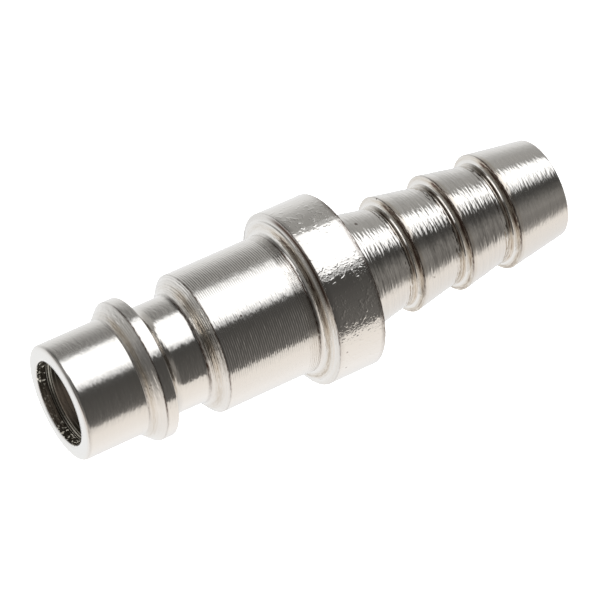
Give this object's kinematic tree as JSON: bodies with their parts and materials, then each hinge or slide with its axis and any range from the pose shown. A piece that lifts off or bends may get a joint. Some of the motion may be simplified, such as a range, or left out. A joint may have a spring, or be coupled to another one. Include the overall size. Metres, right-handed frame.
{
  "type": "compressed air hose nipple",
  "caption": "Turned hose nipple for compressed air: a quick-coupling plug with a locking groove, a round collar and a barbed tail for a push-on hose.",
  "frame": {"origin": "centre of the open end of the hose tail, on which the part stands", "axes": "+Z along the bore, from the hose tail to the plug's tip"},
  "size_m": [0.015, 0.015, 0.0456],
  "materials": {
    "nickel_plate": "bright nickel plate over a turned surface, with fine tool marks and light staining in the corners"
  },
  "bodies": {
    "root": {"hose_nipple": "nickel_plate"}
  },
  "joints": []
}
